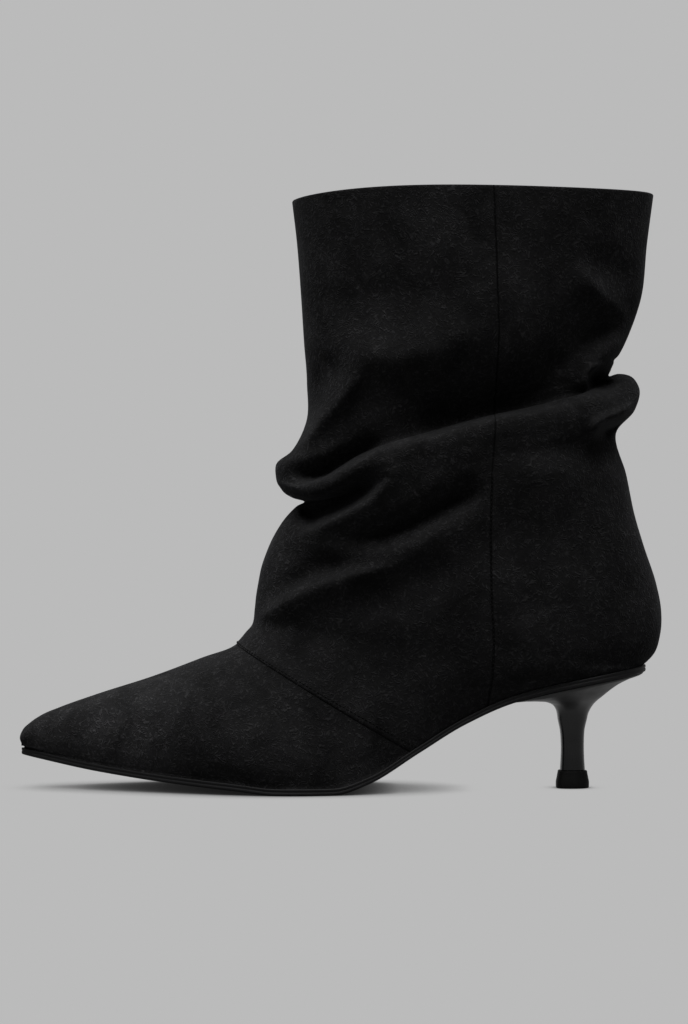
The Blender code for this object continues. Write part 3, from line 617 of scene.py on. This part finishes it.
def folded(points):
    """The points moved sideways by every fold of their own side, less so near the front and the back."""
    moved = points.copy()
    for side, folds in ((OUTER, OUTER_FOLDS), (INNER, INNER_FOLDS)):
        chosen = np.flatnonzero(points[:, 1] * side > 0)
        x = points[chosen, 0] / MM
        z = points[chosen, 2] / MM
        move = np.zeros(len(chosen))
        for fold in folds:
            reach = FOLD_REACH * max(fold.above, fold.below)
            line = np.array(fold.line)
            inside = (
                (x > line[:, 0].min() - reach)
                & (x < line[:, 0].max() + reach)
                & (z > line[:, 1].min() - reach)
                & (z < line[:, 1].max() + reach)
            )
            at = np.flatnonzero(inside)
            move[at] += fold_height(fold, x[at], z[at]) * MM
        hold = smooth(FOLD_START, FOLD_HOLD, np.abs(points[chosen, 1]))
        moved[chosen, 1] += side * hold * move
    return moved


def ring_faces(rings, sides, first=0):
    """Quads between closed rings of points, the first of which starts at point number first."""
    faces = []
    for low in range(first, first + (rings - 1) * sides, sides):
        for j in range(sides):
            k = (j + 1) % sides
            faces.append((low + j, low + k, low + sides + k, low + sides + j))
    return faces


def add_object(name, data):
    made = bpy.data.objects.new(name, data)
    bpy.context.scene.collection.objects.link(made)
    return made


def add_mesh(name, points, faces, material):
    mesh = bpy.data.meshes.new(name)
    mesh.from_pydata([tuple(p) for p in points], [], [tuple(f) for f in faces])
    mesh.validate()
    mesh.shade_smooth()
    mesh.materials.append(material)
    return add_object(name, mesh)


def make_piece(name, points, faces, material, replaced=()):
    """A piece of the boot, in place of the nodes that it replaces."""
    made = add_mesh(name, points, faces, material)
    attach(made, "root")
    for node in replaced:
        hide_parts(node)
    return made


def set_values(obj, name, values):
    attribute = obj.data.attributes.new(name, "FLOAT", "POINT")
    attribute.data.foreach_set("value", np.asarray(values, np.float32))


# Materials
class Nodes:
    """A material's node tree, with a short way to add nodes and join them."""

    def __init__(self, name):
        self.material = bpy.data.materials.new(name)
        self.material.use_nodes = True
        self.tree = self.material.node_tree
        self.shader = self.tree.nodes["Principled BSDF"]

    def add(self, kind, inputs=None, **settings):
        node = self.tree.nodes.new(kind)
        for key, value in settings.items():
            setattr(node, key, value)
        for key, value in (inputs or {}).items():
            if isinstance(value, bpy.types.NodeSocket):
                self.tree.links.new(value, node.inputs[key])
            else:
                node.inputs[key].default_value = value
        return node

    def link(self, output, socket):
        self.tree.links.new(output, self.shader.inputs[socket])

    def constant(self, socket, value):
        """Sets a value that is the same all over the surface."""
        self.shader.inputs[socket].default_value = value

    def math(self, operation, first, second=0.0):
        return self.add("ShaderNodeMath", {0: first, 1: second}, operation=operation).outputs[0]

    def ramp(self, value, low, high, to_low=0.0, to_high=1.0):
        inputs = {"Value": value, "From Min": low, "From Max": high, "To Min": to_low, "To Max": to_high}
        return self.add("ShaderNodeMapRange", inputs).outputs[0]

    def noise(self, scale, detail=3.0, roughness=0.5, distortion=0.0, vector=None):
        inputs = {"Scale": scale, "Detail": detail, "Roughness": roughness, "Distortion": distortion}
        inputs["Vector"] = vector or self.position()
        return self.add("ShaderNodeTexNoise", inputs).outputs["Fac"]

    def position(self):
        return self.add("ShaderNodeTexCoord").outputs["Object"]

    def along(self, axis):
        split = self.add("ShaderNodeSeparateXYZ", {"Vector": self.position()})
        return split.outputs[axis]

    def graded(self, value, points):
        """The level at a value, blended smoothly through a table of points."""
        low, high = points[0].x, points[-1].x
        node = self.add("ShaderNodeValToRGB", {"Fac": self.ramp(value, low, high)})
        stops = node.color_ramp.elements
        for point in points[1:-1]:
            stops.new((point.x - low) / (high - low))
        for stop, point in zip(stops, points):
            stop.color = (point.level, point.level, point.level, 1.0)
        node.color_ramp.interpolation = "B_SPLINE"
        return node.outputs["Color"]

    def value(self, name):
        return self.add("ShaderNodeAttribute", attribute_name=name).outputs["Fac"]

    def colour_mix(self, share, tones):
        node = self.add("ShaderNodeMix", data_type="RGBA")
        self.tree.links.new(share, node.inputs["Factor"])
        node.inputs["A"].default_value = (*tones.dark, 1.0)
        node.inputs["B"].default_value = (*tones.light, 1.0)
        return node.outputs["Result"]

    def bump(self, height, strength, distance, normal=None):
        inputs = {"Height": height, "Strength": strength, "Distance": distance}
        if normal is not None:
            inputs["Normal"] = normal
        return self.add("ShaderNodeBump", inputs).outputs["Normal"]


def suede_material():
    """Black suede: a short curly nap, soft mottling where it was brushed, seams as dark grooves and painted
    light and shade.
    """
    n = Nodes("black_suede")
    lie = n.noise(245.0, 1.0, 0.5, 1.2)
    curls = n.math("SINE", n.math("MULTIPLY", lie, CURL_WAVE))
    broken = n.ramp(n.noise(580.0, 1.0), 0.38, 0.62)
    curls = n.math("MULTIPLY", n.ramp(curls, -0.2, 1.0), broken)
    fine = n.noise(1500.0, 2.0, 0.6)
    brushed = n.noise(60.0, 4.0, 0.62, 0.8)
    patches = n.noise(24.0, 3.0, 0.55, 0.6)
    groove = n.ramp(n.math("ABSOLUTE", n.value("side_seam")), 0.12, 0.58, 1.0, 0.0)
    crease = n.ramp(n.math("ABSOLUTE", n.value("vamp_seam")), 0.05, 0.34, 1.0, 0.0)
    seams = n.math("MAXIMUM", groove, crease)
    # painted bounce light from the floor, low on the toe's sides
    low = n.ramp(n.along("Z"), 0.012, 0.032, 1.0, 0.0)
    painted_bounce_mask = n.math("MULTIPLY", low, n.ramp(n.along("X"), -0.085, -0.040, 1.0, 0.0))
    # painted light and shade along the boot, standing in for how the top light falls on it
    level = n.graded(n.along("X"), PAINTED_LIGHT_ALONG_BOOT)
    level = n.math("MULTIPLY", level, n.ramp(painted_bounce_mask, 0.0, 1.0, 1.0, PAINTED_TOE_BOUNCE))
    shade = n.math("MULTIPLY", n.ramp(curls, 0.0, 1.0, 0.40, 1.0), n.ramp(fine, 0.30, 0.70, 0.55, 1.0))
    shade = n.math("MULTIPLY", shade, n.ramp(brushed, 0.32, 0.68, 0.40, 1.0))
    shade = n.math("MULTIPLY", shade, n.ramp(patches, 0.34, 0.66, 0.60, 1.0))
    shade = n.math("MULTIPLY", n.math("MULTIPLY", shade, level), n.ramp(seams, 0.0, 1.0, 1.0, 0.08))
    n.link(n.colour_mix(shade, SUEDE_TONES), "Base Color")
    height = n.math("ADD", n.math("MULTIPLY", curls, 0.7), n.math("MULTIPLY", fine, 0.3))
    nap = n.bump(height, 0.85, 0.00045)
    soft = n.bump(brushed, 0.40, 0.0016, nap)
    n.link(n.bump(n.ramp(seams, 0.0, 1.0, 1.0, 0.0), 0.9, 0.0005, soft), "Normal")
    n.constant("Roughness", 0.95)
    n.constant("Specular IOR Level", 0.03)
    n.constant("Sheen Weight", 0.018)
    n.constant("Sheen Roughness", 0.40)
    n.constant("Sheen Tint", (0.92, 0.94, 1.0, 1.0))
    return n.material


def lining_material():
    """Thin black leather with a fine grain."""
    n = Nodes("lining_leather")
    cells = {"Scale": 900.0, "Vector": n.position()}
    grain = n.add("ShaderNodeTexVoronoi", cells, feature="DISTANCE_TO_EDGE")
    n.link(n.bump(n.ramp(grain.outputs["Distance"], 0.0, 0.12), 0.35, 0.0002), "Normal")
    n.link(n.colour_mix(n.noise(35.0, 3.0), LINING_TONES), "Base Color")
    n.link(n.ramp(n.noise(60.0, 3.0), 0.3, 0.7, 0.60, 0.74), "Roughness")
    n.constant("Specular IOR Level", 0.28)
    return n.material


def edge_material():
    """The sole's inked edge and underside: satin black with fine scratches along it."""
    n = Nodes("sole_edge_ink")
    stretch = n.add("ShaderNodeMapping", {"Vector": n.position(), "Scale": (40.0, 900.0, 900.0)})
    brush = n.noise(1.0, 4.0, 0.6, 0.2, stretch.outputs["Vector"])
    n.link(n.bump(brush, 0.20, 0.00012), "Normal")
    n.link(n.ramp(brush, 0.3, 0.7, 0.46, 0.60), "Roughness")
    n.link(n.colour_mix(brush, EDGE_TONES), "Base Color")
    n.constant("Specular IOR Level", 0.08)
    return n.material


def heel_material():
    """Polished black plastic with a faint ripple from the mould, duller on the cup under the seat."""
    n = Nodes("heel_lacquer")
    ripple = n.noise(90.0, 2.0)
    n.link(n.bump(ripple, 0.10, 0.0006), "Normal")
    gloss = n.ramp(n.noise(240.0, 4.0), 0.35, 0.75, 0.22, 0.30)
    n.link(n.math("ADD", gloss, n.ramp(n.along("Z"), 0.030, 0.041, 0.0, 0.30)), "Roughness")
    n.link(n.colour_mix(ripple, HEEL_TONES), "Base Color")
    n.constant("Specular IOR Level", 0.32)
    return n.material


def rubber_material():
    """Matt black rubber with a fine speck."""
    n = Nodes("top_piece_rubber")
    speck = n.noise(2600.0, 3.0, 0.6)
    n.link(n.bump(speck, 0.35, 0.00012), "Normal")
    n.link(n.ramp(n.noise(120.0, 3.0), 0.3, 0.7, 0.52, 0.66), "Roughness")
    n.link(n.colour_mix(speck, RUBBER_TONES), "Base Color")
    n.constant("Specular IOR Level", 0.05)
    return n.material


def thread_material():
    """Twisted black thread, its plies as narrow bands."""
    n = Nodes("thread_black")
    stretch = n.add("ShaderNodeMapping", {"Vector": n.position(), "Scale": (2000.0, 2000.0, 5000.0)})
    bands = {"Scale": 1.0, "Vector": stretch.outputs["Vector"]}
    ply = n.add("ShaderNodeTexWave", bands, wave_type="BANDS").outputs["Fac"]
    n.link(n.bump(ply, 0.3, 0.0001), "Normal")
    n.link(n.colour_mix(ply, THREAD_TONES), "Base Color")
    n.constant("Roughness", 0.8)
    n.constant("Specular IOR Level", 0.05)
    return n.material


# The upper's pieces
def seam_x(z):
    line = np.array(SIDE_SEAM)[::-1]
    return np.interp(z / MM, line[:, 1], line[:, 0]) * MM


def softened(points, columns, middle):
    """The same rows with the join between the open and the closed ones evened out."""
    grid = points.reshape(-1, columns, 3).copy()
    rows = np.arange(len(grid))
    place = np.arange(columns)
    span = smooth(SOFT_ROWS, SOFT_CORE_ROWS, np.abs(rows - middle))[:, None, None]
    inside = smooth(SOFT_EDGE, SOFT_INSIDE, np.minimum(place, columns - 1 - place))[None, :, None]
    for _ in range(SOFT_PASSES):
        mean = grid.copy()
        mean[1:-1] = (grid[:-2] + grid[2:]) / 2
        grid += (mean - grid) / 2 * span * inside
    return grid.reshape(-1, 3)


def make_upper(suede, lining, thread):
    """The suede with its turned-in collar, its lining, and the stitches along its seams."""
    rows = upper_rows()
    columns = 2 * SIDE_STEPS + 1
    closed_from = [closed for _, _, closed in rows].index(True)
    base = np.concatenate([section_points(row, closed) for row, _, closed in rows])
    faces = row_faces(len(rows), columns, closed_from)
    base = folded(softened(base, columns, closed_from))
    normals = point_normals(base, faces)
    past = np.array([p for _, p, _ in rows])
    steps = SEAM_STEP * (1 - smooth(0, SEAM_RUN, past))
    outer = base - normals * np.repeat(steps, columns)[:, None]
    bottom = np.arange(closed_from)[:, None] * columns + [0, columns - 1]
    outer[bottom] = base[bottom]
    shell, strip = collar_strip(base, normals, columns)
    points = np.concatenate([outer, shell])
    made = make_piece("upper_suede", points, np.concatenate([faces, strip]), suede, ("upper",))
    vamp_seam = np.repeat(past, columns) / MM + VAMP_CREASE
    set_values(made, "side_seam", (points[:, 0] - seam_x(points[:, 2])) / MM)
    set_values(made, "vamp_seam", np.concatenate([vamp_seam, np.full(len(shell), NO_SEAM)]))
    make_lining(base, normals, closed_from, columns, lining)
    first = int(np.searchsorted(past, 0.0))
    sewn = int(np.searchsorted(past, SEAM_RUN + STITCH_SETBACK))
    vamp = slice(sewn * columns, (sewn + 1) * columns)
    lines = [side_seam_line(outer, normals, columns, side, first) for side in (OUTER, INNER)]
    lines.append((outer[vamp], normals[vamp]))
    make_stitches(lines, thread)


def stitch_places(line, normals):
    """The middle, direction and normal of each stitch along the line."""
    steps = np.linalg.norm(np.diff(line, axis=0), axis=1)
    along = np.concatenate([[0], np.cumsum(steps)])
    marks = np.arange(STITCH_PITCH / 2, along[-1], STITCH_PITCH)

    def taken(values, at):
        return np.stack([np.interp(at, along, values[:, k]) for k in range(3)], axis=1)

    middles = taken(line, marks)
    aheads = taken(line, marks + STITCH_PITCH / 4) - middles
    aheads /= np.linalg.norm(aheads, axis=1, keepdims=True)
    return zip(middles, aheads, taken(normals, marks))


def stitch_points(middle, ahead, up):
    """One thread's rings of points, from end to end."""
    up = up - ahead * np.dot(up, ahead)
    up /= np.linalg.norm(up)
    across = np.cross(ahead, up)
    low, more = THREAD_RISE
    points = []
    for place, share in THREAD_PROFILE:
        centre = middle + ahead * place * STITCH_LENGTH + up * THREAD_RADIUS * (low + more * share)
        thick = max(share, THREAD_END)
        for turn in np.radians(range(0, 360, 360 // THREAD_SIDES)):
            out = across * math.cos(turn) + up * math.sin(turn)
            points.append(centre + out * THREAD_RADIUS * thick)
    return points


def make_stitches(lines, material):
    """A row of small round-ended threads along each line of (points, normals)."""
    sides = THREAD_SIDES
    points, faces = [], []
    for line, normals in lines:
        for middle, ahead, up in stitch_places(line, normals):
            first = len(points)
            points += stitch_points(middle, ahead, up)
            last = len(points) - sides
            faces += ring_faces(len(THREAD_PROFILE), sides, first)
            faces.append(tuple(reversed(range(first, first + sides))))
            faces.append(tuple(range(last, last + sides)))
    make_piece("stitches", points, faces, material)


def side_seam_line(outer, normals, columns, side, first_row):
    """Points and normals where the surface crosses the side seam, row by row, below the roll."""
    line, ups = [], []
    if side == OUTER:
        across = np.arange(SIDE_STEPS + 1)
    else:
        across = np.arange(columns - 1, SIDE_STEPS - 1, -1)
    for i in range(first_row, len(outer) // columns):
        pick = i * columns + across
        row = outer[pick]
        miss = row[:, 0] - seam_x(row[:, 2])
        crossing = np.flatnonzero((miss[:-1] > 0) & (miss[1:] <= 0))
        if len(crossing) == 0:
            continue
        k = crossing[0]
        share = miss[k] / (miss[k] - miss[k + 1])
        point = row[k] * (1 - share) + row[k + 1] * share
        if point[2] > STITCHED_BELOW or point[2] < sole_top(point[0]) + STITCHED_ABOVE:
            continue
        line.append(point)
        up = normals[pick]
        ups.append(up[k] * (1 - share) + up[k + 1] * share)
    return np.array(line), np.array(ups)


def collar_strip(base, normals, columns):
    """Points and faces of the rounded edge at the collar and the suede turned down inside it."""
    last = base[-columns:]
    out = normals[-columns:]
    down = base[-2 * columns : -columns] - last
    down /= np.linalg.norm(down, axis=1, keepdims=True)
    centre = last - out * SUEDE / 2
    loops = []
    for angle in np.radians(COLLAR_ANGLES):
        loops.append(centre + out * SUEDE / 2 * math.cos(angle) - down * SUEDE / 2 * math.sin(angle))
    for k in range(1, FACING_LOOPS + 1):
        end = len(base) - k * FACING_STEP * columns
        row = slice(end - columns, end)
        loops.append(base[row] - normals[row] * SUEDE)
    faces = []
    for low in range(len(base) - columns, len(base) + (len(loops) - 1) * columns, columns):
        high = low + columns
        for j in range(columns - 1):
            k = (j + 1) % (columns - 1)
            faces.append((low + j, high + j, high + k, low + k))
    return np.concatenate(loops), np.array(faces)


def make_lining(base, normals, closed_from, columns, material):
    """The lining under the turned collar, down to where the shaft meets the heel seat."""
    start = len(base) // columns - LINING_START
    rows = np.arange(closed_from, start)
    wide = columns - 1
    grid = rows[:, None] * columns + np.arange(wide)
    depth = LINING_DEPTH + (WALL - LINING_DEPTH) * smooth(LINING_ROWS, 0, start - rows)
    inner = (base[grid] - normals[grid] * depth[:, None, None]).reshape(-1, 3)
    make_piece("upper_lining", inner, ring_faces(len(grid), wide), material)


# Flat pieces that follow the sole's line
def plate(name, rings, material, replaced):
    """A closed plate. Each ring is (inset from the feather line, height as a function of x), top first."""
    turns = [k / SOLE_TURNS for k in range(SOLE_TURNS + 1)]
    loop = 2 * SOLE_TURNS
    points = []
    for inset, height in rings:
        outline = [feather_point(t, OUTER, inset) for t in turns]
        outline += [feather_point(t, INNER, inset) for t in turns[-2:0:-1]]
        points += [(x, y, height(x)) for x, y in outline]
    faces = ring_faces(len(rings), loop)
    for first, flip in ((0, False), ((len(rings) - 1) * loop, True)):
        for j in range(SOLE_TURNS):
            corners = [j, (loop - j) % loop, (loop - j - 1) % loop, j + 1]
            face = [first + corner for n, corner in enumerate(corners) if corner not in corners[:n]]
            faces.append(tuple(reversed(face)) if flip else tuple(face))
    make_piece(name, points, faces, material, replaced)


def make_outsole(material):
    """The sole's edge has a fine groove in its upper half and a round lower corner."""
    thick = OUTSOLE + SOLE_LIP
    rings = [
        (inset * MM - SOLE_MARGIN, lambda x, share=share: sole_bottom(x) + thick * (1 - share))
        for inset, share in SOLE_PROFILE
    ]
    plate("sole_edge", rings, material, ("outsole",))


def make_insole(material):
    rings = [
        (WALL + 2 * GAP + inset, lambda x, share=share: sole_top(x) + GAP + INSOLE * share)
        for inset, share in SOCK_PROFILE
    ]
    plate("sock", rings, material, ("insole",))


# Heel and top piece
def oval(front, back, half, flatness):
    """Points (share, x, y), flat in front and round behind. share runs 0 to 1, front to back."""
    points = []
    for k in range(HEEL_SIDES):
        angle = 2 * math.pi * (k + 0.5) / HEEL_SIDES
        power = 2 / flatness if math.cos(angle) < 0 else 1.0
        along = math.copysign(abs(math.cos(angle)) ** power, math.cos(angle))
        across = math.copysign(abs(math.sin(angle)) ** power, math.sin(angle))
        share = (1 + along) / 2
        points.append((share, front + (back - front) * share, across * half))
    return points


def loft(name, loops, material, replaced):
    """A closed piece through loops of equally many points, lowest first."""
    count = len(loops[0])
    points = [point for loop in loops for point in loop]
    faces = [tuple(reversed(range(count)))] + ring_faces(len(loops), count)
    faces.append(tuple(range(len(points) - count, len(points))))
    made = make_piece(name, points, faces, material, replaced)
    made.data.set_sharp_from_angle(angle=math.radians(SHARP_ANGLE))


def make_top_piece(material):
    loops = []
    for shrink, rise in TIP_PROFILE:
        inset = TIP_TAPER * shrink
        front = HEEL_AXIS - TIP_LENGTH / 2 + inset
        back = HEEL_AXIS + TIP_LENGTH / 2 - inset
        outline = oval(front, back, TIP_WIDTH / 2 - inset, TIP_FLATNESS)
        loops.append([(x, y, rise * TIP_HEIGHT) for _, x, y in outline])
    loft("heel_tip", loops, material, ("top_piece",))


def make_heel(material):
    """The stem through its sections, and the cup that spreads from it to the seat's outline."""
    rows = np.array([tuple(s) for s in HEEL_SECTIONS])
    sizes = np.array([STEM_LENGTH, HEEL_HEIGHT, STEM_LENGTH, HEEL_HEIGHT, STEM_WIDTH, 1.0])
    spans = np.linalg.norm(np.diff(rows * sizes, axis=0)[:, :5], axis=1)
    knots = np.concatenate([[0], np.cumsum(spans)])
    loops = []
    for at in np.linspace(0, knots[-1], HEEL_ROWS):
        front, front_rise, back, back_rise, half, flatness = hermite(knots, rows, at)
        outline = oval(front * STEM_LENGTH, back * STEM_LENGTH, half * STEM_WIDTH, flatness)
        loop = []
        for share, x, y in outline:
            rise = front_rise + (back_rise - front_rise) * share
            loop.append((HEEL_AXIS + x, y, rise * HEEL_HEIGHT))
        loops.append(loop)
    back = HEEL_END + HEEL_OUT - HEEL_AXIS
    outline = oval(HEEL_TOP.front * STEM_LENGTH, back, HEEL_TOP.half * STEM_WIDTH, HEEL_TOP.flatness)
    top = []
    for _, x, y in outline:
        x += HEEL_AXIS
        centre = feather_centre(x)
        reach = feather_half(x) + HEEL_OUT
        top.append((x, centre + min(max(y, -reach), reach), sole_bottom(x) - GAP))
    last = np.array(loops[-1])
    rim = np.array(top)
    for share in HEEL_CUP_SHARES:
        round_share = 1 - (1 - share) ** 2
        loops.append(last + (rim - last) * [round_share, round_share, share])
    loops.append(top)
    loft("heel_block", loops, material, ("heel",))


# Stage, light and camera
def make_stage():
    """A pale floor that sweeps up into a backdrop with an even glow, darkened by a painted shadow close to
    the boot.
    """
    n = Nodes("studio_glow_painted_shadow")
    # painted shadow: the floor's glow is darkened where the boot is near
    painted_contact_shadow, painted_wide_shadow = (
        n.add("ShaderNodeAmbientOcclusion", {"Distance": reach}, samples=SHADOW_SAMPLES).outputs["AO"]
        for reach in (CONTACT_SHADOW_REACH, SHADOW_REACH)
    )
    painted_contact_shadow = n.ramp(painted_contact_shadow, 0.10, 0.90, 0.22, 1.0)
    painted_wide_shadow = n.ramp(painted_wide_shadow, 0.0, 0.84, 0.08, 1.0)
    n.link(n.colour_mix(n.math("MULTIPLY", painted_contact_shadow, painted_wide_shadow), STUDIO_TONES), "Emission Color")
    n.constant("Base Color", (0.0, 0.0, 0.0, 1.0))
    n.constant("Emission Strength", 1.0)
    n.constant("Specular IOR Level", 0.0)
    profile = [(FLOOR_FRONT, 0.0)]
    for k in range(SWEEP_STEPS + 1):
        angle = math.pi / 2 * k / SWEEP_STEPS
        rise = SWEEP_RADIUS * (1 - math.cos(angle))
        profile.append((BACKDROP - SWEEP_RADIUS * (1 - math.sin(angle)), rise))
    profile.append((BACKDROP, BACKDROP_HEIGHT))
    points = [(x, y, z) for y, z in profile for x in (-FLOOR_HALF, FLOOR_HALF)]
    faces = [(2 * k, 2 * k + 1, 2 * k + 3, 2 * k + 2) for k in range(len(profile) - 1)]
    add_mesh("studio", points, faces, n.material)


def make_light():
    world = bpy.data.worlds.new("soft_studio")
    world.use_nodes = True
    background = world.node_tree.nodes["Background"]
    background.inputs["Color"].default_value = (1.0, 1.0, 1.0, 1.0)
    background.inputs["Strength"].default_value = WORLD_STRENGTH
    bpy.context.scene.world = world
    light = bpy.data.lights.new("soft_top", "SUN")
    light.energy = SUN_STRENGTH
    light.angle = math.radians(SUN_SIZE)
    made = add_object("soft_top", light)
    made.rotation_euler = [math.radians(turn) for turn in SUN_TILT]


def make_camera():
    camera = bpy.data.cameras.new("camera")
    camera.sensor_width = 36.0
    camera.lens = LENS
    camera.clip_start = 0.01
    camera.clip_end = 50.0
    made = add_object("camera", camera)
    made.location = CAMERA_PLACE
    made.rotation_euler = (math.pi / 2, 0.0, 0.0)
    bpy.context.scene.camera = made


def main():
    make_upper(suede_material(), lining_material(), thread_material())
    make_outsole(edge_material())
    make_insole(lining_material())
    make_heel(heel_material())
    make_top_piece(rubber_material())
    make_stage()
    make_light()
    make_camera()
    bpy.context.scene.view_settings.view_transform = "Standard"


main()
